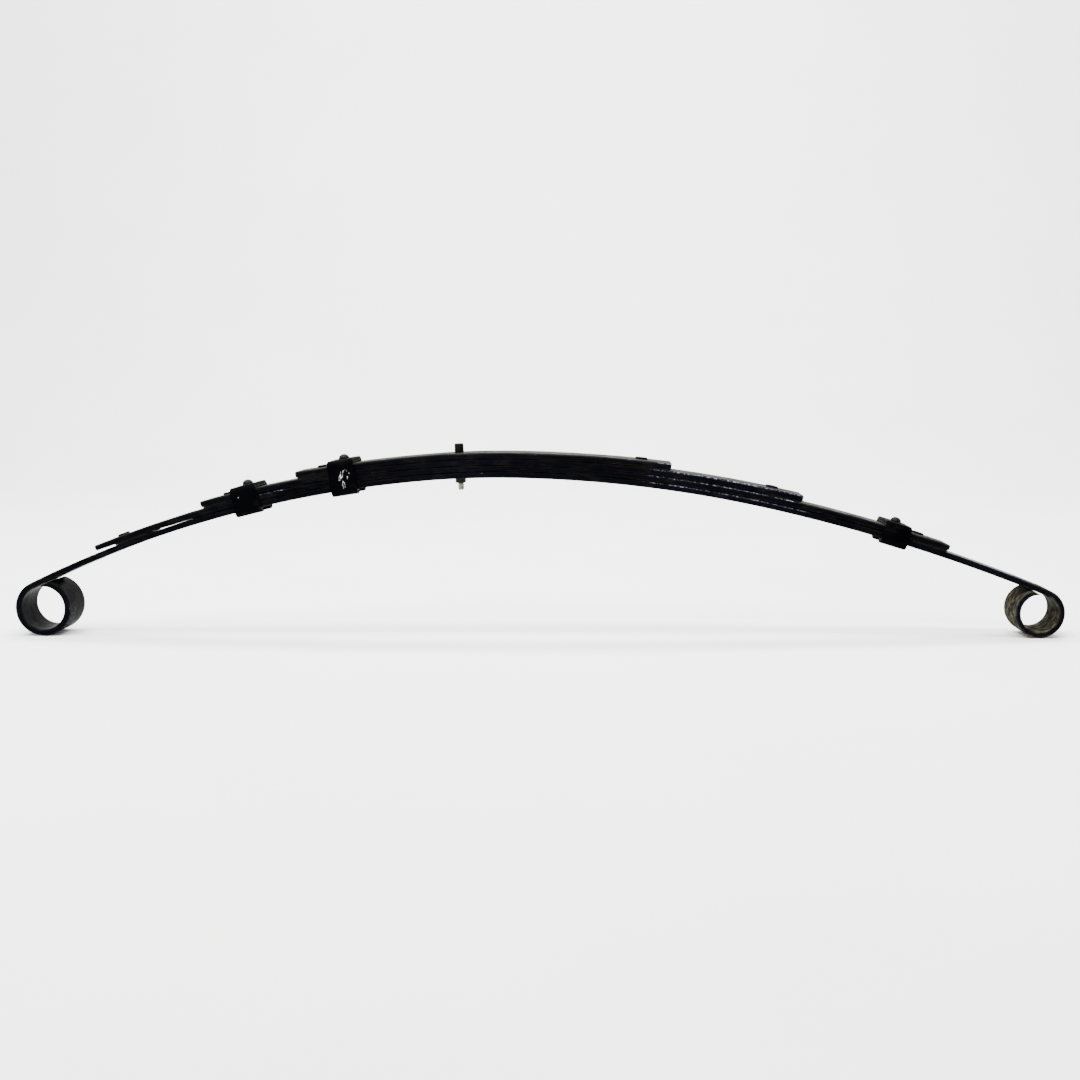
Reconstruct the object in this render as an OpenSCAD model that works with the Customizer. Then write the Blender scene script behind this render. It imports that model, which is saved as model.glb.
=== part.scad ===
// Semi-elliptic leaf spring with four leaves and two rolled eyes of different sizes.
// It stands arched on its eyes: X runs along the leaves with the large eye at -X,
// Y runs along the eye bores, Z is up. The origin is under the middle of the spring, on the floor.
// A place on a leaf is an arc length from the centre bolt, negative towards the large eye.

/* [Leaves] */
// Width of every leaf
leaf_w = 60; // [50:1:80]
// Thickness of every leaf
leaf_t = 8; // [6:0.5:10]
// Length of the main leaf from the bolt to the large eye
main_left = 588; // [540:1:640]
// Length of the main leaf from the bolt to the small eye
main_right = 773; // [720:1:820]
// Length of the second leaf towards the large eye
second_left = 491; // [440:1:500]
// Length of the second leaf towards the small eye
second_right = 638; // [634:1:660]
// Length of the third leaf towards the large eye
third_left = 341; // [340:1:380]
// Length of the third leaf towards the small eye
third_right = 445; // [380:1:480]
// Length of the fourth leaf towards the large eye
fourth_left = 212; // [210:1:240]
// Length of the fourth leaf towards the small eye
fourth_right = 275; // [200:1:320]

/* [Camber] */
// Radius of the main leaf's underside round the bolt
seat_r = 1123; // [1000:1:1600]
// Length of that arc on the large eye's side
seat_left = 41; // [30:1:60]
// Length of that arc on the small eye's side
seat_right = 70; // [50:1:90]
// Radius from there to the large eye
left_r = 1485; // [1300:1:1800]
// Radius of the next arc towards the small eye
mid_r = 1624; // [1400:1:2000]
// Length of that arc
mid_length = 336; // [250:1:400]
// Radius of the last arc before the small eye
right_r = 2220; // [1800:1:3000]

/* [Eyes] */
// Bore of the large eye
left_eye_d = 58; // [45:0.5:65]
// Bore of the small eye
right_eye_d = 48; // [40:0.5:60]
// Slit between the leaf and the rolled end that closes each eye
eye_slit = 1; // [0.6:0.1:2]
// How far the reamed bore cuts into the leaf's underside
eye_bite = 0.3; // [0.2:0.05:0.5]

/* [Gaps] */
// Gap between the main leaf and the second leaf at the bolt
seat_gap = 0.4; // [0.3:0.05:0.6]
// Gap between the upper leaves at the bolt
stack_gap = 0.1; // [0.05:0.05:0.3]
// Gap that the pads keep open at the tips towards the large eye
tip_gap_left = 1.7; // [1.6:0.1:3]
// Gap that the pads keep open at the tips towards the small eye
tip_gap_right = 1.4; // [1.2:0.1:3]

/* [Tip pads] */
// Length of a pad along the leaf
pad_length = 46; // [44:1:50]
// Width of a pad
pad_w = 58; // [30:1:60]
// Diameter of the stud that holds a pad in its leaf
stud_d = 9; // [6:0.5:12]
// Diameter of the button on top of the stud
button_d = 16; // [14:0.5:18]
// Height of the button
button_h = 2.5; // [2:0.1:4]
// Distance from a tip towards the large eye to its button
button_inset_left = 33; // [29:1:34]
// Distance from a tip towards the small eye to its button
button_inset_right = 39; // [30:1:42]
// Distance from a tip to the outer end of its pad
pad_inset = 2; // [1:0.5:6]
// The same distance at the second leaf's tip towards the large eye
second_left_pad_inset = 27; // [2:1:28]

/* [Rebound clips] */
// Place of the clip on the third leaf's end
outer_clip_at = -281; // [-283:1:-276]
// Place of the clip on the fourth leaf's end
inner_clip_at = -151; // [-156:1:-142]
// Place of the clip on the second leaf's end
right_clip_at = 568; // [550:1:570]
// Width of a strap along the leaf
strap_w = 34; // [26:1:35]
// Thickness of a strap
strap_t = 4; // [3:0.5:5]
// Thickness of the rubber liner inside a strap
liner_t = 2; // [1.5:0.5:3]
// Length of the lips folded under the main leaf
lip_length = 14; // [8:1:20]
// Play between a clip and the leaves
clip_play = 0.4; // [0.3:0.1:1]
// Diameter of a rivet's shank
rivet_d = 8; // [6:0.5:10]
// Diameter of a rivet's domed head
rivet_head_d = 14; // [12:0.5:16]

/* [Centre bolt] */
// Diameter of the bolt's shank
bolt_d = 8; // [7:0.5:10]
// Diameter of the bolt's round head
bolt_head_d = 12; // [11:0.5:16]
// Height of the bolt's head
bolt_head_h = 12; // [8:0.5:15]
// Width across the nut's flats
nut_af = 13; // [12.5:0.5:17]
// Height of the nut
nut_h = 6.5; // [5:0.5:8]
// Length of thread that stands out of the nut
thread_end = 9.4; // [4:0.1:12]

/* [Hidden] */
$fn = 96;
// longest straight step along a curved leaf, and the angle of one round an eye
strip_step = 12;
eye_step = 6;
hole_play = 0.5;
pad_play = 0.35;
close_play = 0.05;
thread_play = 0.02;
sink_h = 3;
chamfer = 1;
past = 1;

// leaf lengths, from the main leaf up: [towards the large eye, towards the small eye]
reach = [
    [main_left, main_right],
    [second_left, second_right],
    [third_left, third_right],
    [fourth_left, fourth_right]
];
seat = [seat_left, seat_right];
tip_gap = [tip_gap_left, tip_gap_right];
button_inset = [button_inset_left, button_inset_right];
open_end = 2000;
main_arcs = [
    [[seat_r, seat_left], [left_r, open_end]],
    [[seat_r, seat_right], [mid_r, mid_length], [right_r, open_end]]
];

function side(s) = s < 0 ? 0 : 1;

// height of leaf k's underside above the main leaf's underside at the bolt
function rise(k) = k == 0 ? 0 : k * leaf_t + seat_gap + (k - 1) * stack_gap;

// how much flatter than the main leaf's curve leaf k is, as a curvature
function flatter(k, e) = k == 0 ? 0
    : flatter(k - 1, e) + 2 * tip_gap[e] / pow(reach[k][e] - seat[e], 2);

// arcs of leaf k's underside: [radius, length] from the bolt outwards
function arcs(k, e) = [
    for (i = [0:len(main_arcs[e]) - 1])
        let (r = main_arcs[e][i][0] + rise(k))
        [i == 0 ? r : 1 / (1 / r - flatter(k, e)), main_arcs[e][i][1] * r / main_arcs[e][i][0]]
];

// [x, z, slope] at the arc length d along a row of arcs, for the side towards +X
function along(row, d, i = 0, x = 0, z = 0, a = 0) =
    let (r = row[i][0], step = min(d, row[i][1]), b = a + step / r * 180 / PI,
         x1 = x + r * (sin(b) - sin(a)), z1 = z - r * (cos(a) - cos(b)))
    d <= row[i][1] ? [x1, z1, b] : along(row, d - row[i][1], i + 1, x1, z1, b);

// [x, z, slope] of the point that lies h above leaf k's underside at the arc length s
function spot(k, s, h) =
    let (e = side(s), m = e == 0 ? -1 : 1, p = along(arcs(k, e), abs(s)))
    [m * (p[0] + h * sin(p[2])), rise(k) + p[1] + h * cos(p[2]), m * p[2]];

// how far leaf k's underside stands off the main leaf's underside at the arc length s
function stand_off(k, s) =
    let (past_seat = max(0, abs(s) - seat[side(s)]))
    rise(k) + flatter(k, side(s)) * past_seat * past_seat / 2;

// the spring is turned until both eyes stand on the floor
left_eye_r = left_eye_d / 2 + leaf_t - eye_bite;
right_eye_r = right_eye_d / 2 + leaf_t - eye_bite;
left_eye = spot(0, -main_left, eye_bite - left_eye_d / 2);
right_eye = spot(0, main_right, eye_bite - right_eye_d / 2);
eye_dx = right_eye[0] - left_eye[0];
eye_dz = right_eye[1] - left_eye[1];
level = atan2(eye_dz, eye_dx) + asin((left_eye_r - right_eye_r) / norm([eye_dx, eye_dz]));
function levelled(p) = [p[0] * cos(level) + p[1] * sin(level), p[1] * cos(level) - p[0] * sin(level)];
left_foot = levelled(left_eye);
right_foot = levelled(right_eye);
shift_x = -(left_foot[0] - left_eye_r + right_foot[0] + right_eye_r) / 2;
shift_z = left_eye_r - left_foot[1];

module in_frame() {
    translate([shift_x, 0, shift_z]) rotate([0, level, 0]) children();
}

// carries its children to a place on leaf k, with their Z along the leaf's normal
module on_leaf(k, s, h = 0) {
    p = spot(k, s, h);
    translate([p[0], 0, p[1]]) rotate([0, p[2], 0]) children();
}

// lays an outline drawn in [x, z] along Y, as wide as w
module along_y(w) {
    rotate([90, 0, 0]) linear_extrude(height = w, center = true) children();
}

// points that follow leaf k from s0 to s1, at the height h above its underside
function edge(k, s0, s1, h) =
    let (n = ceil(abs(s1 - s0) / strip_step))
    [for (i = [0:n]) let (p = spot(k, s0 + (s1 - s0) * i / n, h)) [p[0], p[1]]];

// a strip that follows leaf k from s0 to s1, between two heights above its underside
module strip(k, s0, s1, low, high, w) {
    along_y(w) polygon(concat(edge(k, s0, s1, high), edge(k, s1, s0, low)));
}

module y_cylinder(r, l) {
    rotate([90, 0, 0]) cylinder(r = r, h = l, center = true);
}

// outline of an eye from the leaf's top, round the roll to the slit: m is -1 at the large eye
function roll(s, bore_d) =
    let (m = s < 0 ? -1 : 1, r = bore_d / 2, outer = r + leaf_t - eye_bite, low = r - eye_bite - eye_slit,
         p = spot(0, s, eye_bite - r), slope = abs(p[2]),
         turn = 360 - acos(low / outer), n = ceil(turn / eye_step))
    concat(
        [for (i = [0:n]) let (a = slope + turn * i / n) [p[0] + m * outer * sin(a), p[1] + outer * cos(a)]],
        [[p[0] + m * low * sin(slope), p[1] + low * cos(slope)]]
    );

function reversed(row) = [for (i = [len(row) - 1:-1:0]) row[i]];

// the bores are cut afterwards, so the outline closes each eye like a disc with a slit
function main_outline() = concat(
    edge(0, -main_left, main_right, leaf_t),
    roll(main_right, right_eye_d),
    edge(0, main_right, -main_left, 0),
    reversed(roll(-main_left, left_eye_d))
);

module eye_bore(s, bore_d) {
    on_leaf(0, s, eye_bite - bore_d / 2) y_cylinder(bore_d / 2, leaf_w + 2 * past);
}

module bolt_hole(k) {
    translate([0, 0, rise(k) - past]) cylinder(d = bolt_d + 2 * hole_play, h = leaf_t + 2 * past);
}

// countersunk hole for a rivet, open through leaf k
module rivet_hole(k, s) {
    hole_d = rivet_d + 2 * hole_play;
    on_leaf(k, s, -past) {
        cylinder(d = hole_d, h = leaf_t + 2 * past);
        cylinder(d1 = hole_d + 2 * (sink_h + past), d2 = hole_d, h = sink_h + past);
    }
}

function button_at(k, e) = (e == 0 ? -1 : 1) * (reach[k][e] - button_inset[e]);

module leaf(k) {
    difference() {
        strip(k, -reach[k][0], reach[k][1], 0, leaf_t, leaf_w);
        bolt_hole(k);
        for (e = [0, 1])
            on_leaf(k, button_at(k, e), -past) cylinder(d = stud_d + hole_play, h = leaf_t + 2 * past);
        if (k == 1) rivet_hole(k, right_clip_at);
        if (k == 2) rivet_hole(k, outer_clip_at);
        if (k == 3) rivet_hole(k, inner_clip_at);
    }
}

module main_leaf() {
    color("#17181b") in_frame() difference() {
        along_y(leaf_w) polygon(main_outline());
        bolt_hole(0);
        eye_bore(-main_left, left_eye_d);
        eye_bore(main_right, right_eye_d);
    }
}

module second_leaf() { color("#1b1c20") in_frame() leaf(1); }
module third_leaf() { color("#1f2025") in_frame() leaf(2); }
module fourth_leaf() { color("#232429") in_frame() leaf(3); }

// underside of the bolt's head, top of the nut and lower end of the bolt
bolt_top = rise(3) + leaf_t;
nut_top = -seat_gap;
bolt_end = nut_top - nut_h - thread_end;

module centre_bolt() {
    color("#3a3b3e") in_frame() {
        translate([0, 0, bolt_end]) cylinder(d1 = bolt_d - 2 * chamfer, d2 = bolt_d, h = chamfer);
        translate([0, 0, bolt_end + chamfer]) cylinder(d = bolt_d, h = bolt_top - bolt_end - chamfer);
        translate([0, 0, bolt_top]) {
            cylinder(d = bolt_head_d, h = bolt_head_h - chamfer);
            translate([0, 0, bolt_head_h - chamfer])
                cylinder(d1 = bolt_head_d, d2 = bolt_head_d - 2 * chamfer, h = chamfer);
        }
    }
}

module centre_nut() {
    color("#4a4b4e") in_frame() translate([0, 0, nut_top - nut_h]) difference() {
        intersection() {
            cylinder(d = nut_af / cos(30), h = nut_h, $fn = 6);
            cylinder(d1 = nut_af - 2 * thread_play, d2 = nut_af + 2 * nut_h, h = nut_h);
        }
        translate([0, 0, -past]) cylinder(d = bolt_d + 2 * thread_play, h = nut_h + 2 * past);
    }
}

// inside of a clip's liner: half its width and its height from the main leaf's underside to leaf k's top
clip_in_w = leaf_w / 2 + clip_play;
function clip_top(k, s) = stand_off(k, s) + leaf_t + clip_play;
// clips are placed by their distance along the leaf they are riveted to, so it is scaled to the main leaf
function on_main(k, s) = s * left_r / (left_r + rise(k));

// cross-section of a channel that is open below between its two lips
module channel(half_w, top, bottom, t, lip) {
    difference() {
        translate([-half_w - t, bottom - t]) square([2 * (half_w + t), top - bottom + 2 * t]);
        translate([-half_w, bottom]) square([2 * half_w, top - bottom]);
        translate([-half_w + lip, bottom - t - past]) square([2 * (half_w - lip), t + 2 * past]);
    }
}

module across(w) {
    rotate([90, 0, 90]) linear_extrude(height = w, center = true) children();
}

module shank_hole(k, s) {
    on_leaf(k, s, leaf_t) cylinder(d = rivet_d + 2 * thread_play, h = liner_t + strap_t + 3 * past);
}

module strap(k, s) {
    difference() {
        on_leaf(0, on_main(k, s)) across(strap_w)
            channel(clip_in_w + liner_t, clip_top(k, s) + liner_t, -clip_play - liner_t, strap_t, lip_length);
        shank_hole(k, s);
    }
}

module liner(k, s) {
    difference() {
        on_leaf(0, on_main(k, s)) across(strap_w)
            channel(clip_in_w, clip_top(k, s), -clip_play, liner_t, lip_length);
        shank_hole(k, s);
    }
}

// countersunk under the leaf, and domed on top of the strap
module rivet(k, s) {
    dome_h = rivet_head_d * 0.45;
    dome_r = (pow(rivet_head_d / 2, 2) + dome_h * dome_h) / (2 * dome_h);
    on_leaf(k, s, hole_play) {
        cylinder(d1 = rivet_d + 2 * (sink_h - hole_play), d2 = rivet_d, h = sink_h - hole_play);
        cylinder(d = rivet_d, h = leaf_t + clip_play + liner_t + strap_t + past);
    }
    on_leaf(0, on_main(k, s), clip_top(k, s) + liner_t + strap_t + close_play) intersection() {
        cylinder(d = rivet_head_d, h = dome_h + past);
        translate([0, 0, dome_h - dome_r]) sphere(r = dome_r);
    }
}

module left_outer_strap() { color("#1c1d20") in_frame() strap(2, outer_clip_at); }
module left_outer_liner() { color("#3b3b34") in_frame() liner(2, outer_clip_at); }
module left_outer_rivet() { color("#2c2422") in_frame() rivet(2, outer_clip_at); }
module left_inner_strap() { color("#1c1d20") in_frame() strap(3, inner_clip_at); }
module left_inner_liner() { color("#3b3b34") in_frame() liner(3, inner_clip_at); }
module left_inner_rivet() { color("#2c2422") in_frame() rivet(3, inner_clip_at); }
module right_strap() { color("#1c1d20") in_frame() strap(1, right_clip_at); }
module right_liner() { color("#3b3b34") in_frame() liner(1, right_clip_at); }
module right_rivet() { color("#2c2422") in_frame() rivet(1, right_clip_at); }

// the place on the leaf below that faces the arc length s on leaf k
function below(k, s) = s * (left_r + rise(k - 1)) / (left_r + rise(k));

// a pad fills the gap between leaf k's end and the leaf below, and its stud goes up through that end
module pad(k, e) {
    m = e == 0 ? -1 : 1;
    s = button_at(k, e);
    outer = m * (reach[k][e] - (k == 1 && e == 0 ? second_left_pad_inset : pad_inset));
    inner = outer - m * pad_length;
    foot = leaf_t + (k == 1 ? pad_play : close_play);
    root = (stand_off(k, s) - stand_off(k - 1, s) - leaf_t) / 2;
    in_frame() {
        along_y(pad_w) polygon(concat(
            edge(k, inner, outer, -close_play),
            edge(k - 1, below(k, outer), below(k, inner), foot)
        ));
        on_leaf(k, s, -root) cylinder(d = stud_d, h = root + leaf_t + button_h / 2);
        on_leaf(k, s, leaf_t + close_play) cylinder(d = button_d, h = button_h);
    }
}

module second_leaf_left_pad() { color("#26221f") pad(1, 0); }
module second_leaf_right_pad() { color("#26221f") pad(1, 1); }
module third_leaf_left_pad() { color("#26221f") pad(2, 0); }
module third_leaf_right_pad() { color("#26221f") pad(2, 1); }
module fourth_leaf_left_pad() { color("#26221f") pad(3, 0); }
module fourth_leaf_right_pad() { color("#26221f") pad(3, 1); }

main_leaf();
second_leaf();
third_leaf();
fourth_leaf();
centre_bolt();
centre_nut();
left_outer_strap();
left_outer_liner();
left_outer_rivet();
left_inner_strap();
left_inner_liner();
left_inner_rivet();
right_strap();
right_liner();
right_rivet();
second_leaf_left_pad();
second_leaf_right_pad();
third_leaf_left_pad();
third_leaf_right_pad();
fourth_leaf_left_pad();
fourth_leaf_right_pad();
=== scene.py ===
import math

import bmesh
import bpy
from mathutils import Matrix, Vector


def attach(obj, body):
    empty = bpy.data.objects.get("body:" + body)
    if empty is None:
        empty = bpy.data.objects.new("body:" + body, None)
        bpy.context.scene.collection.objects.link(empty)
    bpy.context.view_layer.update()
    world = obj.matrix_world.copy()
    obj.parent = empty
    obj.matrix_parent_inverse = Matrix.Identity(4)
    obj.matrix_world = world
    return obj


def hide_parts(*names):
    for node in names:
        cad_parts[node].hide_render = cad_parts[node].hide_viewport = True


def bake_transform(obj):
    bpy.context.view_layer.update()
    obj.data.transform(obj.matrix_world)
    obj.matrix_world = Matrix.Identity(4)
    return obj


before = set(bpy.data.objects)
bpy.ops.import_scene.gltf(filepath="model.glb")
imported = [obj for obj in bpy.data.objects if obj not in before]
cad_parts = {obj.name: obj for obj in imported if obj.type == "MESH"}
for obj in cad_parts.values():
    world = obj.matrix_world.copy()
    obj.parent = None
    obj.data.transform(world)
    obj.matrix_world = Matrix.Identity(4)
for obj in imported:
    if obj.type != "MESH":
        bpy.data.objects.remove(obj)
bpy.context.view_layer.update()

# ---- the spring's own curve, in millimetres: the same arcs as the CAD model ----
# A leaf k is 0 for the main leaf to 3 for the fourth, and an end e is 0 for the left and 1 for the right.
MM = 0.001
SIGN, SIDE = (-1, 1), ("left", "right")
LEAF_W, LEAF_T = 60, 8
REACH = ((588, 773), (491, 638), (341, 445), (212, 275))    # along leaf k from the bolt to its end e
SEAT = (41, 70)                                             # from the bolt to where the leaves part
ARCS = (((1123, 41), (1485, 2000)), ((1123, 70), (1624, 336), (2220, 2000)))    # (radius, length) outwards
CLIP_ARC_R = ARCS[0][1][0]      # the left arc's, which the CAD model takes for all three clips
BORE_R = (29, 24)
EYE_BITE, EYE_SLIT = 0.3, 1.0       # how far a bore cuts into its leaf, and the slit above the scarf
SEAT_GAP, STACK_GAP, TIP_GAP = 0.4, 0.1, (1.7, 1.4)
BUTTON_INSET = (33, 39)


def clamp(value):
    return min(1, max(0, value))


def rise(k):
    return 0 if k == 0 else k * LEAF_T + SEAT_GAP + (k - 1) * STACK_GAP


def flatter(k, e):
    """How much less leaf k is curved than the main leaf."""
    return 0 if k == 0 else flatter(k - 1, e) + 2 * TIP_GAP[e] / (REACH[k][e] - SEAT[e]) ** 2


def stand_off(k, s):
    """Height of leaf k's underside over the main leaf's."""
    e = 0 if s < 0 else 1
    return rise(k) + flatter(k, e) * max(0, abs(s) - SEAT[e]) ** 2 / 2


def gap_under(k, s):
    return stand_off(k, s) - stand_off(k - 1, s) - LEAF_T


def spot(k, s):
    """x, z and slope in radians of leaf k's underside at the arc length s from the bolt."""
    e, m = (0, -1) if s < 0 else (1, 1)
    left, x, z, a = abs(s), 0, 0, 0
    for i, (radius, length) in enumerate(ARCS[e]):
        r = radius + rise(k)
        step = min(left, length * r / radius)
        left -= step
        if i:
            r = 1 / (1 / r - flatter(k, e))
        b = a + step / r
        x, z, a = x + r * (math.sin(b) - math.sin(a)), z - r * (math.cos(a) - math.cos(b)), b
        if left <= 0:
            break
    return m * x, rise(k) + z, m * a


def offset(p, h):
    return p[0] + h * math.sin(p[2]), p[1] + h * math.cos(p[2]), p[2]


EYES = [offset(spot(0, SIGN[e] * REACH[0][e]), EYE_BITE - BORE_R[e]) for e in (0, 1)]
OUTER = [r + LEAF_T - EYE_BITE for r in BORE_R]
DX, DZ = EYES[1][0] - EYES[0][0], EYES[1][1] - EYES[0][1]
LEVEL = math.atan2(DZ, DX) + math.asin((OUTER[0] - OUTER[1]) / math.hypot(DX, DZ))


def level(x, z):
    """Turns a point so that both eyes stand on the floor."""
    return x * math.cos(LEVEL) + z * math.sin(LEVEL), z * math.cos(LEVEL) - x * math.sin(LEVEL)


FEET = [level(p[0], p[1]) for p in EYES]
SHIFT_X = -(FEET[0][0] - OUTER[0] + FEET[1][0] + OUTER[1]) / 2
SHIFT_Z = OUTER[0] - FEET[0][1]


class Seat:
    """A place on the spring in the shared frame: u is along the leaf, y across it and h along its normal."""

    def __init__(self, p):
        x, z = level(p[0], p[1])
        a = p[2] + LEVEL
        self.origin = Vector((x + SHIFT_X, 0, z + SHIFT_Z)) * MM
        self.along = Vector((math.cos(a), 0, -math.sin(a)))
        self.normal = Vector((math.sin(a), 0, math.cos(a)))

    def at(self, u, y, h):
        return self.origin + (self.along * u + Vector((0, y, 0)) + self.normal * h) * MM


BOLT_SPOT = 1e-6    # just off the bolt's axis, so that it belongs to one side


def wobble(t, seed):
    """A smooth irregular number between about -1 and 1, from a place along a piece in mm."""
    coarse = math.sin(t / 17.3 + seed * 1.7)
    fine = 0.7 * math.sin(t / 7.1 + seed * 4.1)
    slow = 0.5 * math.sin(t / 41 + seed * 2.3)
    return (coarse + fine + slow) / 2.2


# ---- mesh helpers ----
# The mark for the top faces' dust also paints a lighter sheen on them.
MARKS = ("edge", "bare", "dirt", "dust_and_sheen", "shine")
SHARP = 38      # degrees


def shade(obj, sharp=SHARP):
    """Smooth shading with sharp edges where the surface turns by more than an angle."""
    obj.data.shade_smooth()
    obj.data.set_sharp_from_angle(angle=math.radians(sharp))


def link(name, bm, sharp=SHARP):
    bmesh.ops.recalc_face_normals(bm, faces=bm.faces)
    mesh = bpy.data.meshes.new(name)
    bm.to_mesh(mesh)
    bm.free()
    obj = bpy.data.objects.new(name, mesh)
    bpy.context.scene.collection.objects.link(obj)
    shade(obj, sharp)
    return obj


def loft(name, rings):
    """A closed skin over rings of (point, then a value for each of the MARKS, or for the first of them)."""
    bm = bmesh.new()
    layers = [bm.verts.layers.float.new(mark) for mark in MARKS]
    rows = []
    for ring in rings:
        row = []
        for point, *marks in ring:
            v = bm.verts.new(point)
            for layer, value in zip(layers, marks):
                v[layer] = value
            row.append(v)
        rows.append(row)
    for a, b in zip(rows, rows[1:]):
        for i in range(len(a)):
            j = (i + 1) % len(a)
            bm.faces.new((a[i], a[j], b[j], b[i]))
    bm.faces.new(rows[0])
    bm.faces.new(rows[-1])
    return link(name, bm)


SUPPORT = 0.7           # the most that a support point stands off its corner
SMALL_END_R = 0.5       # rounding over the ends of pads, straps and liners


def section(half_w, low, high, r, inset=0, steps=6):
    """Outline across a rolled bar: (y, h, wear), with a support point on each side of a round corner."""
    half_w, low, high = half_w - inset, low + inset, high - inset
    r = max(min(r - inset * 0.6, (high - low) * 0.47), 0.12)
    gap = min(SUPPORT, (high - low - 2 * r) * 0.3)
    points = []
    corners = ((1, 1, 0), (-1, 1, 90), (-1, -1, 180), (1, -1, 270))
    for sy, sh, turn in corners:
        cy, ch = sy * (half_w - r), (high - r if sh > 0 else low + r)
        arc = []
        for j in range(steps + 1):
            a = math.radians(turn + 90 * j / steps)
            wear = 1 - abs(2 * j / steps - 1) * 0.4
            arc.append((cy + r * math.cos(a), ch + r * math.sin(a), wear))
        a0, a1 = math.radians(turn), math.radians(turn + 90)
        before = (arc[0][0] + gap * math.sin(a0), arc[0][1] - gap * math.cos(a0), 0)
        after = (arc[-1][0] - gap * math.sin(a1), arc[-1][1] + gap * math.cos(a1), 0)
        points += [before] + arc + [after]
    return points


def rounding(b, steps=4):
    """(distance from the end, inset) for an end that is rounded over b."""
    angles = [math.radians(90 * i / steps) for i in range(steps + 1)]
    return [(b * (1 - math.sin(a)), b * (1 - math.cos(a))) for a in angles]


def spaced(start, end, step):
    n = max(1, math.ceil(abs(end - start) / step))
    return [start + (end - start) * i / n for i in range(n + 1)]


def turned(name, seat, rows, n=48, around=False, sharp=SHARP, thread_from=None):
    """A piece turned about the seat's normal, bare below thread_from.

    A row is (radius, h), and each may depend on the angle. around joins the last row to the first.
    """
    bm = bmesh.new()
    edge, bare, *_ = (bm.verts.layers.float.new(mark) for mark in MARKS)
    made = []
    for r, h in rows:
        if r == 0:
            made.append([bm.verts.new(seat.at(0, 0, h))] * n)
            continue
        row = []
        for i in range(n):
            a = 2 * math.pi * i / n
            ra, ha = (r(a) if callable(r) else r), (h(a) if callable(h) else h)
            v = bm.verts.new(seat.at(ra * math.cos(a), ra * math.sin(a), ha))
            v[edge] = 0.5
            v[bare] = 1 if thread_from is not None and ha < thread_from else 0
            row.append(v)
        made.append(row)
    for a, b in zip(made, made[1:] + made[:1] if around else made[1:]):
        for i in range(n):
            j = (i + 1) % n
            corner = list(dict.fromkeys((a[i], a[j], b[j], b[i])))
            if len(corner) > 2:
                bm.faces.new(corner)
    return link(name, bm, sharp)


def bake(obj):
    """Applies the modifiers."""
    dg = bpy.context.evaluated_depsgraph_get()
    mesh = bpy.data.meshes.new_from_object(obj.evaluated_get(dg))
    obj.modifiers.clear()
    old, obj.data = obj.data, mesh
    bpy.data.meshes.remove(old)


def drill(obj, seat, r, low, high):
    """Cuts a round hole along the seat's normal."""
    cutter = turned("cutter", seat, [(0, low), (r, low), (r, high), (0, high)], 32)
    cut = obj.modifiers.new("hole", "BOOLEAN")
    cut.operation, cut.solver, cut.object = "DIFFERENCE", "EXACT", cutter
    bake(obj)
    bpy.data.objects.remove(cutter)
    shade(obj)


def join(name, objs):
    bpy.ops.object.select_all(action="DESELECT")
    for o in objs:
        o.select_set(True)
    bpy.context.view_layer.objects.active = objs[0]
    bpy.ops.object.join()
    objs[0].name = name
    return objs[0]


# ---- leaves ----
SIDE_CLEAR, TOP_CLEAR = 0.12, 0.06                  # how far a leaf's faces stay inside its CAD solid
SIDE_WAVE, CORNER_WAVE, TOP_WAVE = 0.1, 0.35, 0.05  # how far its faces and its rounding wander
CORNER_R, END_R, SCARF_END_R = 2.7, 1.1, 0.5
RING_STEP, EYE_STEP = 4, math.radians(3)
FACE_FADE = 1.5             # over which the marks of a flat face fade towards its corners
BOLT_HOLE_R, STUD_HOLE_R, RIVET_HOLE_R, THROUGH = 4.5, 4.75, 4.6, 2
# Spans along a leaf where the upper edges get a painted highlight.
SHINING, SECOND_HIGHLIGHT = (345, 175), (-243, 30)            # (middle, reach), the second on the second leaf only
THIN_BY, THIN_OVER = 0.9, 27                        # the second leaf's tips
SAG, SAG_END, SAG_FADE = 0.9, 408, 25               # the second leaf's left underside
COVER_INSET, COVER_FADE = 6, 12                     # where the leaf above keeps the dust and its painted sheen off
BARE_REACH, BARE_LEAF, BARE_EYE = 60, (0.25, 0.5), (0.08, 0.9)
# The main leaf's share also scales the painted sheen on its top.
MAIN_DIRT, MAIN_DUST_AND_SHEEN = 0.2, 0.15    # against 1 on the other leaves
# Share of the painted edge highlight at the back.
FAR_SHINE = 0.8             # on the upper edge at the back, against 1 at the front
CORNER_BARE = 0.03          # the least of a bare patch, at the corners
SCARF_T = 1.3               # thickness that the rolled end is left with
EYE_SEED = 20


def button_at(k, e):
    return SIGN[e] * (REACH[k][e] - BUTTON_INSET[e])


def highlight_share(t, seed):
    """How much painted highlight, partly a worn polished edge, the upper edges get at the place t along a
    leaf.
    """
    places = (SHINING, SECOND_HIGHLIGHT) if seed == 1 else (SHINING,)
    return min(1, max(0, *(1 - abs(t - middle) / reach for middle, reach in places)) * 2)


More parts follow.
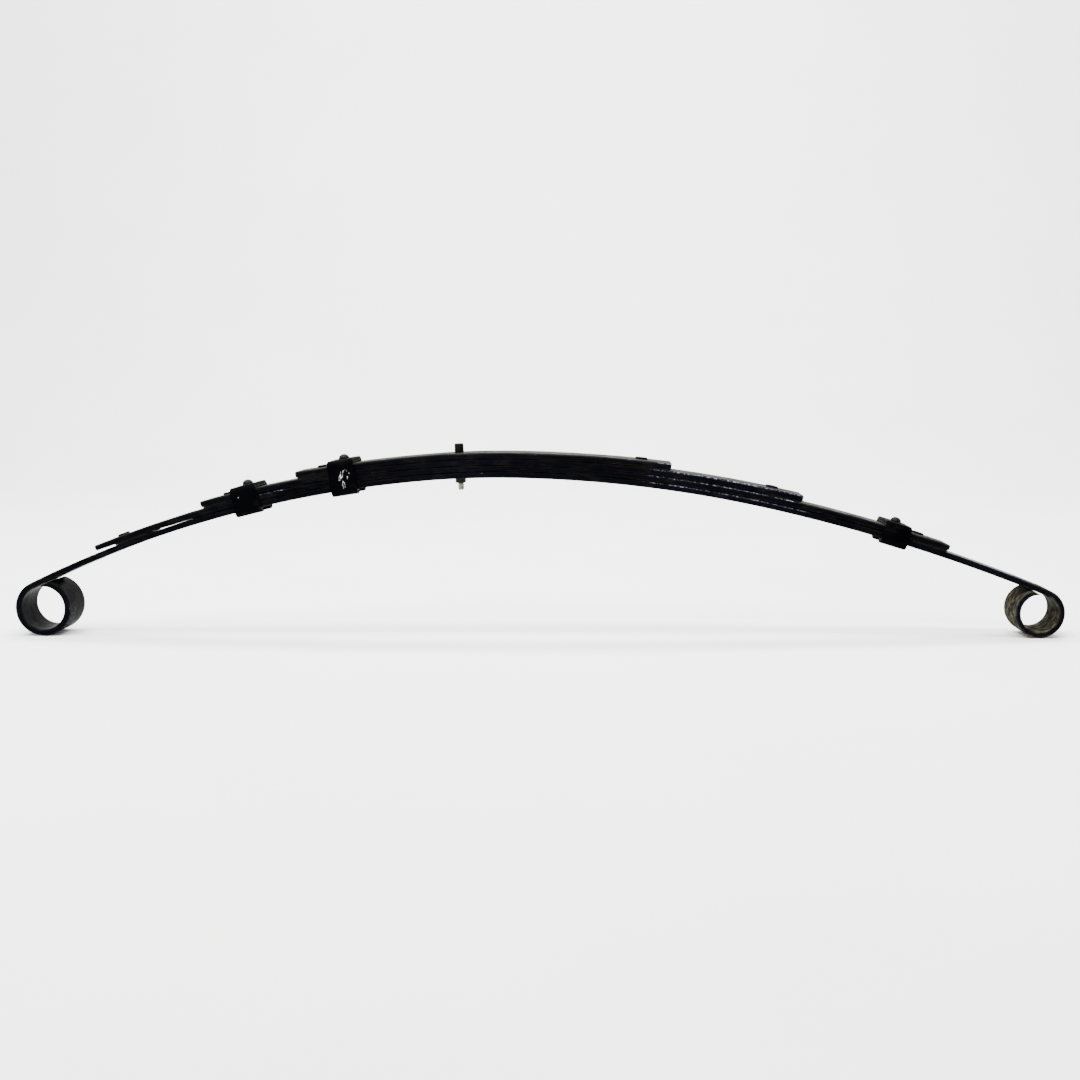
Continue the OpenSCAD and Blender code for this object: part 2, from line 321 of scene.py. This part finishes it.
def leaf_ring(seat, low, high, inset, t, seed, bare=0.0, dirt=(0.0, 0.0), dust_and_sheen=0.0):
    """One ring of a leaf. dirt is for its underside and for its top, and the dust value for its top only,
    where it also paints a lighter sheen.
    """
    wide = LEAF_W / 2 - SIDE_CLEAR + SIDE_WAVE * wobble(t, seed)
    r = CORNER_R + CORNER_WAVE * wobble(t, seed + 5)
    out = TOP_WAVE * wobble(t, seed + 9) if inset == 0 else 0
    ring = []
    for y, h, w in section(wide, low, high - TOP_CLEAR, r, inset):
        top = h > (low + high) / 2
        face = clamp((wide - inset - abs(y)) / FACE_FADE)
        # shine paints a highlight on the upper edges, weaker at the back.
        shine = highlight_share(t, seed) * w * (1 if y < 0 else FAR_SHINE) if top else 0
        worn = bare * (CORNER_BARE + (1 - CORNER_BARE) * face)
        # The top's dust value also paints a lighter sheen onto the top face.
        marks = (w, worn, dirt[top] * face, dust_and_sheen * face if top else 0, shine)
        ring.append((seat.at(0, y, h + (out if top else 0)), *marks))
    return ring


def thinned(k, d):
    """How much thinner the second leaf's tip is at the distance d from its end."""
    return THIN_BY * max(0, 1 - d / THIN_OVER) if k == 1 else 0


def sag(k, s):
    """How far the second leaf's underside bulges towards the main leaf between its clip and its pad."""
    if k != 1 or s > 0:
        return 0
    return SAG * clamp((SAG_END + s) / SAG_FADE) * (stand_off(1, s) - LEAF_T - SEAT_GAP)


def leaf(k, e):
    m, end = SIGN[e], REACH[k][e]
    rings = []

    def ring(d, inset=0):
        cover = clamp((REACH[k + 1][e] - COVER_INSET - d) / COVER_FADE) if k < 3 else 0
        under = 1 if k else MAIN_DIRT
        bare = 0 if k else max(0, (d - end + BARE_REACH) / BARE_REACH) * BARE_LEAF[e]
        # Top-face dust with a painted sheen, kept off where the leaf above covers the top.
        dust_and_sheen = (1 - cover) * (1 if k else MAIN_DUST_AND_SHEEN)
        low = thinned(k, end - d) - sag(k, m * d)
        seat = Seat(spot(k, m * d))
        rings.append(leaf_ring(seat, low, LEAF_T, inset, m * d, k, bare, (under, cover), dust_and_sheen))

    for d in spaced(0, end - END_R, RING_STEP):
        ring(d)
    if k:
        for d, inset in rounding(END_R)[1:]:
            ring(end - d, inset)
    else:
        roll_eye(e, rings)
    obj = loft(("main", "second", "third", "fourth")[k] + "_leaf_" + SIDE[e], rings)
    drill(obj, Seat(spot(k, m * BOLT_SPOT)), BOLT_HOLE_R, -THROUGH, LEAF_T + THROUGH)
    if k:
        drill(obj, Seat(spot(k, button_at(k, e))), STUD_HOLE_R, -THROUGH, LEAF_T + THROUGH)
    return obj


def roll_eye(e, rings):
    """Goes on round the bore from the leaf's end and thins to a scarf just below the leaf's underside."""
    m, bore, outer = SIGN[e], BORE_R[e], OUTER[e]
    cx, cz, slope = EYES[e]
    low = bore - EYE_BITE - EYE_SLIT
    last = 2 * math.pi - math.acos(low / (bore + SCARF_T))
    turns = spaced(0, last - SCARF_END_R / outer, EYE_STEP)[1:]
    steps = [(a, 0) for a in turns] + [(last - d / outer, i) for d, i in rounding(SCARF_END_R)[1:]]
    for a, inset in steps:
        top = outer
        if a > math.pi and math.cos(a) > 0:
            top = min(outer, low / math.cos(a))
        seat = Seat((cx, cz, slope + m * a))
        bare = BARE_EYE[e] * (0.7 + 0.3 * min(1, a))
        inset = min(inset, (top - bore) * 0.4)
        rings.append(leaf_ring(seat, bore, top, inset, m * (REACH[0][e] + a * outer), EYE_SEED + e, bare))


leaves = {(k, e): leaf(k, e) for k in range(4) for e in (0, 1)}

# ---- tip pads with their buttons ----
PAD_LENGTH, PAD_HALF_W, PAD_CORNER_R, PAD_PARTS = 46, 29, 0.45, 14
PAD_TOP_CLEAR, BUTTON_CLEAR = 0.06, 0.05    # under the pad's own leaf, and over it
PAD_INSET, SECOND_LEFT_PAD_INSET = 2, 27
PAD_PLAY, SECOND_PAD_PLAY = 0.05, 0.02
STUD_R = 4.3
# (radius, height over the leaf's top) from the stud out, over the rim and in to the raised middle.
BUTTON = (
    (STUD_R, 0), (7.5, 0), (7.85, 0.12), (8, 0.45), (8, 1.5), (7.8, 2.05), (7.3, 2.4), (6.6, 2.5),
    (5.2, 2.5), (4.9, 2.42), (4.6, 2.2), (4.2, 2.1), (1.6, 2.05), (1.1, 2.2), (0.5, 2.3), (0, 2.32),
)


def pad(k, e):
    m, s = SIGN[e], button_at(k, e)
    inset_here = SECOND_LEFT_PAD_INSET if (k, e) == (1, 0) else PAD_INSET
    inner = m * (REACH[k][e] - inset_here - PAD_LENGTH)
    play = SECOND_PAD_PLAY if k == 1 else PAD_PLAY
    ends = rounding(SMALL_END_R, 3)
    inside = [(PAD_LENGTH * i / PAD_PARTS, 0) for i in range(1, PAD_PARTS)]
    rings = []
    for d, inset in ends[::-1] + inside + [(PAD_LENGTH - x, i) for x, i in ends]:
        at = inner + m * d
        low = play - gap_under(k, at)
        high = thinned(k, REACH[k][e] - abs(at)) - PAD_TOP_CLEAR
        seat = Seat(spot(k, at))
        outline = section(PAD_HALF_W, low, high, PAD_CORNER_R, inset, 3)
        rings.append([(seat.at(0, y, h), w, 0, 0) for y, h, w in outline])
    body = loft("pad", rings)
    foot, top = -gap_under(k, s) / 2, LEAF_T + BUTTON_CLEAR
    profile = [(0, foot), (STUD_R, foot)] + [(r, top + h) for r, h in BUTTON]
    button = turned("button", Seat(spot(k, s)), profile)
    return join(("", "second", "third", "fourth")[k] + "_" + SIDE[e] + "_tip_pad", [body, button])


pads = {(k, e): pad(k, e) for k in (1, 2, 3) for e in (0, 1)}

# ---- rebound clips ----
# The leaf that each clip is riveted to, and where.
CLIPS = {"left_outer": (2, -281), "left_inner": (3, -151), "right": (1, 568)}
PLAY = 0.4                                  # between the leaves and the CAD's liner
STRAP_T, STRAP_HALF_W, STRAP_HALF_LENGTH, STRAP_BEND_R, STRAP_EDGE_R = 4, 32.4, 16.9, 7.2, 1.0
LINER_T, LINER_HALF_W, LINER_HALF_LENGTH, LINER_BEND_R, LINER_EDGE_R = 1.5, 30.85, 16.3, 3.975, 0.5
STRAP_LIP, LINER_LIP = 14, 14.6
STRAP_OFF, LINER_OFF = 2, 0.45              # from the play to the inside of the strap, and of the liner
STRAP_HOLE_R, LINER_HOLE_R = 4.05, 4.3
RIVET_R, RIVET_FOOT_R, DOME_R, DOME_H, DOME_ROWS = 4, 6.2, 7, 5.75, 8
RIVET_HEAD_UNDER = 6.06                     # over the play: the strap's outer face and a hair
BAND_STEP, BAND_WAVE = 5, 0.1
CLIP_THROUGH = 14


def filleted(points, radius, steps=7):
    """A path of straight runs with round corners, as (y, h) and its direction."""
    path = []
    for i, p in enumerate(points):
        p = Vector(p)
        if i in (0, len(points) - 1):
            q = Vector(points[1 if i == 0 else i - 1])
            d = (q - p if i == 0 else p - q).normalized()
            path.append((p, d))
            continue
        a, b = (Vector(points[i - 1]) - p).normalized(), (Vector(points[i + 1]) - p).normalized()
        centre = p + (a + b) * radius
        for j in range(steps + 1):
            t = math.pi / 2 * j / steps
            q = centre - b * radius * math.cos(t) - a * radius * math.sin(t)
            path.append((q, (b * math.sin(t) - a * math.cos(t)).normalized()))
    return path


def band(name, seat, half_w, top, bottom, t, lip, half_length, radius, corner):
    """A flat bar bent round the leaves, with two lips below. half_w, top and bottom are its inside."""
    w, hi, lo = half_w + t / 2, top + t / 2, bottom - t / 2
    turn = filleted([(half_w - lip, lo), (w, lo), (w, hi), (-w, hi), (-w, lo), (lip - half_w, lo)], radius)
    path = []
    for (p, d), (q, _) in zip(turn, turn[1:]):
        n = max(1, math.ceil((q - p).length / BAND_STEP))
        path += [(p + (q - p) * i / n, d) for i in range(n)]
    path.append(turn[-1])
    ends = rounding(SMALL_END_R, 3)
    first, last = path[0], path[-1]
    path = [
        *((first[0] + first[1] * d, first[1], i) for d, i in reversed(ends)),
        *((p, d, 0) for p, d in path[1:-1]),
        *((last[0] - last[1] * d, last[1], i) for d, i in ends),
    ]
    rings = []
    for i, (p, d, inset) in enumerate(path):
        n = Vector((d.y, -d.x))
        ring = []
        reach = half_length + BAND_WAVE * wobble(i * 9, 3)
        for u, v, wear in section(reach, -t / 2, t / 2, corner, inset, 4):
            q = p + n * v
            ring.append((seat.at(u, q.x, q.y), wear, 0, 0))
        rings.append(ring)
    return loft(name, rings)


def on_main(k, s):
    """The place on the main leaf that is under the place s on leaf k."""
    return s * CLIP_ARC_R / (CLIP_ARC_R + rise(k))


def hammered(r, row):
    """The radius, by angle, of one row of a rivet's dome."""
    return lambda a: r * (1 + 0.012 * math.sin(3 * a + row) + 0.008 * math.sin(7 * a - row))


def rivet(name, seat):
    under, dome = LEAF_T + PLAY + RIVET_HEAD_UNDER, []
    for i in range(DOME_ROWS + 1):
        a = math.radians(90 * i / DOME_ROWS)
        radius = hammered(DOME_R * math.cos(a), i) if i < DOME_ROWS else 0
        dome.append((radius, under + 0.5 + DOME_H * math.sin(a)))
    shank = [(0, 0.5), (RIVET_FOOT_R, 0.5), (RIVET_R, 2.7), (RIVET_R, under)]
    rim = [(6.6, under), (6.95, under + 0.15)]
    return turned(name, seat, shank + rim + dome)


straps, liners, rivets, clip_seats = {}, {}, {}, {}
for name, (k, s) in CLIPS.items():
    seat = clip_seats[name] = Seat(spot(0, on_main(k, s)))
    hole = Seat(spot(k, s))
    top = stand_off(k, s) + LEAF_T + PLAY
    straps[name] = band(
        name + "_clip_strap", seat, STRAP_HALF_W, top + STRAP_OFF, -PLAY - STRAP_OFF, STRAP_T,
        STRAP_LIP, STRAP_HALF_LENGTH, STRAP_BEND_R, STRAP_EDGE_R)
    liners[name] = band(
        name + "_clip_liner", seat, LINER_HALF_W, top + LINER_OFF, -PLAY - LINER_OFF, LINER_T,
        LINER_LIP, LINER_HALF_LENGTH, LINER_BEND_R, LINER_EDGE_R)
    for piece, r in ((straps[name], STRAP_HOLE_R), (liners[name], LINER_HOLE_R)):
        drill(piece, hole, r, LEAF_T - THROUGH, LEAF_T + CLIP_THROUGH)
    drill(leaves[k, 0 if s < 0 else 1], hole, RIVET_HOLE_R, -THROUGH, LEAF_T + THROUGH)
    rivets[name] = rivet(name + "_clip_rivet", hole)

# ---- centre bolt and nut ----
centre = Seat(spot(0, BOLT_SPOT))
PITCH, NUT_H, NUT_AF, STUB = 1.25, 6.5, 13, 9.4
THREAD_R, THREAD_DEPTH, THREAD_STEP = 3.94, 0.68, 0.156
FLANK = 0.38                                # of the pitch
LEAD, LEAD_CUT = 1.1, 0.9                   # length and depth of the lead-in at the bolt's end
HEAD_UNDER = rise(3) + LEAF_T
NUT_TOP = -SEAT_GAP
NUT_FOOT = NUT_TOP - NUT_H
BOLT_END = NUT_FOOT - STUB
NUT_RIM = NUT_AF / 2 * 0.97
NUT_BORE_R, NUT_MOUTH_R, NUT_MOUTH_DEPTH, NUT_CLEAR = 4.05, 4.6, 0.55, 0.02
CHAMFER_R, CHAMFER_SLOPE = NUT_AF / 2 * 0.985, 0.58
# (radius, height over the head's underside), from the top down to the shank.
HEAD = (
    (0, 12), (4.2, 11.95), (4.9, 11.85), (5.6, 11.35), (5.93, 10.8), (6, 10.2),
    (6, 0.6), (5.9, 0.15), (5.7, 0.03), (4, 0.03),
)


def thread(h):
    def radius(a):
        v = (h / PITCH + a / (2 * math.pi)) % 1
        cut = THREAD_DEPTH * min(1, abs(v - 0.5) / FLANK)
        fade = clamp((h - BOLT_END) / LEAD)
        return THREAD_R - LEAD_CUT * (1 - fade) - (THREAD_DEPTH - cut) * (0.25 + 0.75 * fade)

    return radius


def hexagon(shrink=0):
    def radius(a):
        return (NUT_AF / 2 - shrink) / math.cos((math.degrees(a) + 30) % 60 * math.pi / 180 - math.pi / 6)

    return radius


def chamfer(top, drop=0):
    """The height, by angle, of the edge that the nut's chamfer leaves, less drop."""
    def height(a):
        fall = max(0, hexagon()(a) - CHAMFER_R) * CHAMFER_SLOPE
        return (NUT_TOP - fall if top else NUT_FOOT + fall) - drop

    return height


bolt = turned("centre_bolt_body", centre, [
    *((r, HEAD_UNDER + h) for r, h in HEAD),
    (4, 6), (3.95, 5.4),
    *((thread(h), h) for h in spaced(5, BOLT_END + 0.01, THREAD_STEP)),
    (0, BOLT_END),
], thread_from=NUT_FOOT - 1)
nut = turned("centre_nut_body", centre, [
    (NUT_BORE_R, NUT_TOP - NUT_MOUTH_DEPTH),
    (NUT_MOUTH_R, NUT_TOP - NUT_CLEAR), (NUT_RIM, NUT_TOP - NUT_CLEAR),
    (hexagon(0.03), chamfer(True)), (hexagon(), chamfer(True, 0.12)),
    (hexagon(), chamfer(False, -0.12)), (hexagon(0.03), chamfer(False)),
    (NUT_RIM, NUT_FOOT), (NUT_MOUTH_R, NUT_FOOT), (NUT_BORE_R, NUT_FOOT + NUT_MOUTH_DEPTH),
], 96, True, 20)


# ---- materials ----
class Nodes:
    """A material's node tree, written as nested calls."""

    def __init__(self, name):
        self.material = bpy.data.materials.new(name)
        self.material.use_nodes = True
        self.tree = self.material.node_tree
        self.shader = self.tree.nodes["Principled BSDF"]
        self.place = self.add("ShaderNodeTexCoord").outputs["Object"]

    def add(self, kind, **values):
        node = self.tree.nodes.new(kind)
        for key, value in values.items():
            setattr(node, key, value)
        return node

    def put(self, socket, value):
        if isinstance(value, bpy.types.NodeSocket):
            self.tree.links.new(value, socket)
        else:
            socket.default_value = value

    def noise(self, scale, detail=4, rough=0.55, stretch=None):
        place = self.place
        if stretch:
            mapping = self.add("ShaderNodeMapping")
            self.put(mapping.inputs["Vector"], place)
            mapping.inputs["Scale"].default_value = stretch
            place = mapping.outputs[0]
        node = self.add("ShaderNodeTexNoise")
        self.put(node.inputs["Vector"], place)
        node.inputs["Scale"].default_value = scale
        node.inputs["Detail"].default_value = detail
        node.inputs["Roughness"].default_value = rough
        return node.outputs["Fac"]

    def ramp(self, value, low, high, a=0.0, b=1.0):
        """a below low, b above high, and between them in between."""
        node = self.add("ShaderNodeMapRange")
        self.put(node.inputs["Value"], value)
        for key, number in (("From Min", low), ("From Max", high), ("To Min", a), ("To Max", b)):
            node.inputs[key].default_value = number
        return node.outputs[0]

    def math(self, kind, a, b=0.0, clamped=True):
        node = self.add("ShaderNodeMath", operation=kind, use_clamp=clamped)
        self.put(node.inputs[0], a)
        self.put(node.inputs[1], b)
        return node.outputs[0]

    def times(self, a, b):
        return self.math("MULTIPLY", a, b)

    def mix(self, share, a, b):
        node = self.add("ShaderNodeMix", data_type="RGBA")
        self.put(node.inputs[0], share)
        self.put(node.inputs[6], a)
        self.put(node.inputs[7], b)
        return node.outputs[2]

    def mottle(self, scale, detail, low, high, a, b):
        """Two colours in irregular patches."""
        return self.mix(self.ramp(self.noise(scale, detail), low, high), a, b)

    def mark(self, name):
        return self.add("ShaderNodeAttribute", attribute_name=name).outputs["Fac"]

    def near(self, point, radii):
        """1 in the middle of an oval about a point, falling to 0 at its edge."""
        away = self.add("ShaderNodeVectorMath", operation="SUBTRACT")
        self.put(away.inputs[0], self.place)
        away.inputs[1].default_value = point
        scaled = self.add("ShaderNodeVectorMath", operation="DIVIDE")
        self.put(scaled.inputs[0], away.outputs[0])
        scaled.inputs[1].default_value = radii
        length = self.add("ShaderNodeVectorMath", operation="LENGTH")
        self.put(length.inputs[0], scaled.outputs[0])
        return self.ramp(length.outputs["Value"], 0.3, 1, 1, 0)

    def bump(self, *layers):
        """Layers of (height, depth in metres)."""
        normal = None
        for height, depth in layers:
            node = self.add("ShaderNodeBump")
            node.inputs["Distance"].default_value = depth
            self.put(node.inputs["Height"], height)
            if normal:
                self.put(node.inputs["Normal"], normal)
            normal = node.outputs[0]
        self.put(self.shader.inputs["Normal"], normal)

    def finish(self, colour, rough, metal=0.0, **fixed):
        self.put(self.shader.inputs["Base Color"], colour)
        self.put(self.shader.inputs["Roughness"], rough)
        self.put(self.shader.inputs["Metallic"], metal)
        for key, value in fixed.items():
            self.shader.inputs[key.replace("_", " ")].default_value = value
        return self.material


def rgb(r, g, b):
    return (r, g, b, 1)


# Each a darker and a lighter colour.
# Dust colours, which also serve as a painted sheen on the top faces.
DUST_AND_SHEEN = rgb(0.0125, 0.0122, 0.0092), rgb(0.023, 0.0225, 0.017)
BARE = rgb(0.018, 0.0165, 0.0105), rgb(0.085, 0.078, 0.055)
DIRT = rgb(0.002, 0.0019, 0.0018), rgb(0.008, 0.006, 0.004)
CHIP = rgb(0.02, 0.015, 0.012), rgb(0.07, 0.066, 0.062)
# Bluish colours of the painted highlight on the upper edges.
SHINE = rgb(0.07, 0.075, 0.11), rgb(0.19, 0.2, 0.26)
THREAD = rgb(0.2, 0.195, 0.15), rgb(0.36, 0.35, 0.28)
SPECK, SCRATCH, LINT = rgb(0.1, 0.097, 0.085), rgb(0.34, 0.35, 0.34), rgb(0.2, 0.19, 0.17)


def scratches(n, point, radii):
    """Thin crooked lines in a patch with an irregular outline."""
    wave = n.math("SUBTRACT", n.noise(120, 3, 0.5, (1.3, 1, 0.5)), 0.5, clamped=False)
    line = n.math("ABSOLUTE", wave)
    near, ragged = n.times(n.near(point, radii), 0.5), n.times(n.noise(100, 5, 0.65), 0.8)
    patch = n.math("ADD", near, ragged, clamped=False)
    return n.times(n.ramp(line, 0.009, 0.02, 1, 0), n.ramp(patch, 0.72, 0.76))


def paint(name, tint, specks, gloss, scuffs=()):
    """Black paint with fine pale specks of grit, and with what the MARKS of the mesh call for, among them a
    painted sheen on the top faces and a painted highlight on the upper edges.
    """
    n = Nodes(name)
    fine = n.noise(220, 3)
    colour = n.mottle(14, 5, 0.35, 0.7, tint, rgb(*(c * 1.8 + 0.0004 for c in tint[:3])))
    speck = n.times(n.ramp(n.noise(60, 6, 0.65, (0.5, 1, 1)), 0.55, 0.72), specks)
    colour = n.mix(speck, colour, SPECK)
    # Top-face dust, partly a painted sheen that lightens the top as falling light would.
    dust_and_sheen = n.times(n.mark("dust_and_sheen"), n.ramp(n.noise(7, 6, 0.62, (0.5, 1, 1)), 0.3, 0.68, 0.5, 1))
    colour = n.mix(dust_and_sheen, colour, n.mottle(24, 5, 0.35, 0.65, *DUST_AND_SHEEN))
    bare = n.times(n.mark("bare"), n.ramp(n.noise(75, 7, 0.68, (1, 0.45, 1)), 0.34, 0.6, 0.25, 1))
    colour = n.mix(bare, colour, n.mottle(130, 5, 0.42, 0.62, *BARE))
    dirt = n.mark("dirt")
    colour = n.mix(dirt, colour, n.mottle(50, 5, 0.4, 0.62, *DIRT))
    chip = n.times(n.ramp(n.noise(170, 5, 0.7), 0.64, 0.69), n.ramp(n.mark("edge"), 0.5, 0.9))
    colour = n.mix(chip, colour, n.mix(n.ramp(fine, 0.45, 0.6), *CHIP))
    # Painted highlight along the upper edges, broken into glints; its metallic share is a worn, polished
    # edge.
    glints = n.ramp(n.noise(420, 5, 0.7, (0.7, 1, 1)), 0.5, 0.62)
    shine = n.times(n.ramp(n.mark("shine"), 0.72, 0.95), glints)
    colour = n.mix(shine, colour, n.mottle(30, 3, 0.4, 0.6, *SHINE))
    for point, radii in scuffs:
        colour = n.mix(scratches(n, point, radii), colour, SCRATCH)
    rough = n.ramp(n.noise(45, 5), 0.3, 0.75, *gloss)
    for value, share in ((bare, 0.7), (speck, 0.6), (dust_and_sheen, 0.25), (chip, 0.2), (dirt, 0.55), (shine, 0.1)):
        rough = n.math("ADD", rough, n.times(value, share))
    unchipped = n.math("SUBTRACT", 1.0, chip)
    n.bump((n.noise(38, 3, 0.5), 0.0012), (n.noise(420, 3, 0.6), 0.00011), (unchipped, 0.00008))
    metal = n.math("ADD", n.times(chip, 0.4), n.times(shine, 0.6))
    return n.finish(colour, rough, metal, Specular_IOR_Level=0.002)


def steel(name, dark, light, rust, metal):
    n = Nodes(name)
    colour = n.mottle(160, 5, 0.35, 0.65, dark, light)
    colour = n.mix(n.times(n.mark("bare"), 0.8), colour, n.mottle(220, 4, 0.4, 0.6, *THREAD))
    stain = n.ramp(n.noise(300, 6, 0.7), 0.53, 0.66)
    colour = n.mix(n.times(stain, 0.6), colour, rust)
    rough = n.ramp(n.noise(500, 4), 0.3, 0.7, 0.4, 0.62)
    n.bump((n.noise(260, 4), 0.00025), (n.noise(1500, 3), 0.00004))
    rough = n.math("ADD", rough, n.times(stain, 0.25))
    return n.finish(colour, rough, n.ramp(stain, 0, 1, metal, metal * 0.35), Specular_IOR_Level=0.08)


def moulded(name, a, b, rough, grain, sheen):
    """Rubber or plastic. grain is its bumps' depth in metres, sheen its gloss and its share of lint."""
    n = Nodes(name)
    colour = n.mottle(55, 5, 0.35, 0.7, a, b)
    lint = n.ramp(n.noise(700, 5, 0.7), 0.58, 0.72)
    colour = n.mix(n.times(lint, sheen), colour, LINT)
    n.bump((n.noise(900, 4), grain), (n.noise(60, 3), 0.0003))
    rough = n.ramp(n.noise(120, 4), 0.3, 0.7, rough - 0.12, rough + 0.12)
    return n.finish(colour, rough, Specular_IOR_Level=sheen)


STRAP_FACE = -STRAP_HALF_W - STRAP_T
SCUFFS = (
    (clip_seats["left_inner"].at(2, STRAP_FACE, 17), (0.013, 0.008, 0.02)),
    (clip_seats["left_outer"].at(-7, STRAP_FACE, 14), (0.005, 0.008, 0.009)),
)
leaf_paint = paint("leaf_paint", rgb(0.0008, 0.0009, 0.0016), 0.03, (0.18, 0.36))
strap_paint = paint("strap_paint", rgb(0.0004, 0.0004, 0.0006), 0.02, (0.42, 0.6), SCUFFS)
rivet_steel = steel(
    "rivet_steel", rgb(0.002, 0.0017, 0.0017), rgb(0.008, 0.0065, 0.006), rgb(0.016, 0.009, 0.0055), 0.2)
bolt_steel = steel(
    "bolt_steel", rgb(0.0012, 0.0012, 0.0014), rgb(0.006, 0.0056, 0.0054), rgb(0.01, 0.007, 0.005), 0.3)
nut_steel = steel(
    "nut_steel", rgb(0.003, 0.0028, 0.0026), rgb(0.016, 0.0145, 0.012), rgb(0.03, 0.02, 0.012), 0.4)
liner_rubber = moulded(
    "liner_rubber", rgb(0.0055, 0.005, 0.0042), rgb(0.017, 0.0155, 0.012), 0.72, 0.00012, 0.05)
pad_plastic = moulded(
    "pad_plastic", rgb(0.0022, 0.002, 0.002), rgb(0.006, 0.005, 0.0045), 0.5, 0.00005, 0.03)


def dress(obj, material):
    obj.data.materials.clear()
    obj.data.materials.append(material)
    return obj


# ---- each piece takes its material and hides the CAD part it stands for; clip pieces ride on their clip bodies, bolt and nut on the leaf pack ----
NODE = ("main_leaf", "second_leaf", "third_leaf", "fourth_leaf")
for (k, e), obj in leaves.items():
    dress(obj, leaf_paint)
    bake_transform(obj)
    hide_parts(NODE[k])
for (k, e), obj in pads.items():
    dress(obj, pad_plastic)
    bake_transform(obj)
    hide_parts(f"{NODE[k]}_{('left', 'right')[e]}_pad")
for name in CLIPS:
    for obj, material, part in (
        (straps, strap_paint, "strap"), (liners, liner_rubber, "liner"), (rivets, rivet_steel, "rivet"),
    ):
        piece = dress(obj[name], material)
        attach(piece, name + "_clip")
        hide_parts(f"{name}_{part}")
for piece, material, node in ((bolt, bolt_steel, "centre_bolt"), (nut, nut_steel, "centre_nut")):
    dress(piece, material)
    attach(piece, "leaf_pack")
    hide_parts(node)

# ---- floor, lights and camera, in metres ----
FLOOR_HALF_W, FLOOR_FRONT, FLOOR_BACK, SWEEP_R, WALL_TOP = 9, -7, 2.2, 1.6, 6
FLOOR_DROP = 0.0006     # keeps the floor clear of the eyes


def stage():
    """A pale floor that sweeps up into a wall."""
    n = Nodes("pale_floor")
    colour = n.mottle(3, 3, 0.3, 0.7, rgb(0.86, 0.86, 0.85), rgb(0.9, 0.9, 0.89))
    n.bump((n.noise(600, 2), 0.00002))
    n.finish(colour, 0.62)
    bm = bmesh.new()
    angles = [math.radians(a) for a in range(6, 91, 6)]
    sweep = [(FLOOR_BACK + SWEEP_R * math.sin(a), SWEEP_R - SWEEP_R * math.cos(a)) for a in angles]
    profile = [(FLOOR_FRONT, 0), (FLOOR_BACK, 0)] + sweep + [(FLOOR_BACK + SWEEP_R, WALL_TOP)]
    sides = (-FLOOR_HALF_W, FLOOR_HALF_W)
    rows = [[bm.verts.new((x, y, z - FLOOR_DROP)) for x in sides] for y, z in profile]
    for a, b in zip(rows, rows[1:]):
        bm.faces.new((a[0], a[1], b[1], b[0]))
    floor = link("pale_floor", bm, 60)
    floor.data.materials.append(n.material)


def light(name, at, aim, size, power, colour=(1, 1, 1)):
    """A rectangular light that looks at aim."""
    data = bpy.data.lights.new(name, "AREA")
    data.shape, data.energy, data.color = "RECTANGLE", power, colour
    data.size, data.size_y = size
    obj = bpy.data.objects.new(name, data)
    bpy.context.scene.collection.objects.link(obj)
    obj.location = at
    obj.rotation_mode = "QUATERNION"
    obj.rotation_quaternion = (Vector(aim) - Vector(at)).to_track_quat("-Z", "Y")


stage()
light("strip", (-0.2, -0.35, 2.3), (-0.1, 0, 0.1), (2.8, 0.3), 145)
light("front", (-1.4, -2.6, 3.2), (0, -0.4, 0), (2.4, 1.6), 245, (1, 0.99, 0.97))
light("backdrop", (0, 1.4, 3.4), (0, 2.6, 0.4), (4.5, 1.2), 470)
world = bpy.data.worlds.new("studio")
world.use_nodes = True
world.node_tree.nodes["Background"].inputs["Color"].default_value = (0.93, 0.95, 1, 1)
world.node_tree.nodes["Background"].inputs["Strength"].default_value = 0.84
bpy.context.scene.world = world

camera = bpy.data.objects.new("camera", bpy.data.cameras.new("camera"))
camera.data.lens, camera.data.sensor_width = 50, 36
camera.location = (0.1161, -1.950, 0.3441)
camera.rotation_euler = [math.radians(a) for a in (83.555, 0.398, 3.034)]
bpy.context.scene.collection.objects.link(camera)
bpy.context.scene.camera = camera
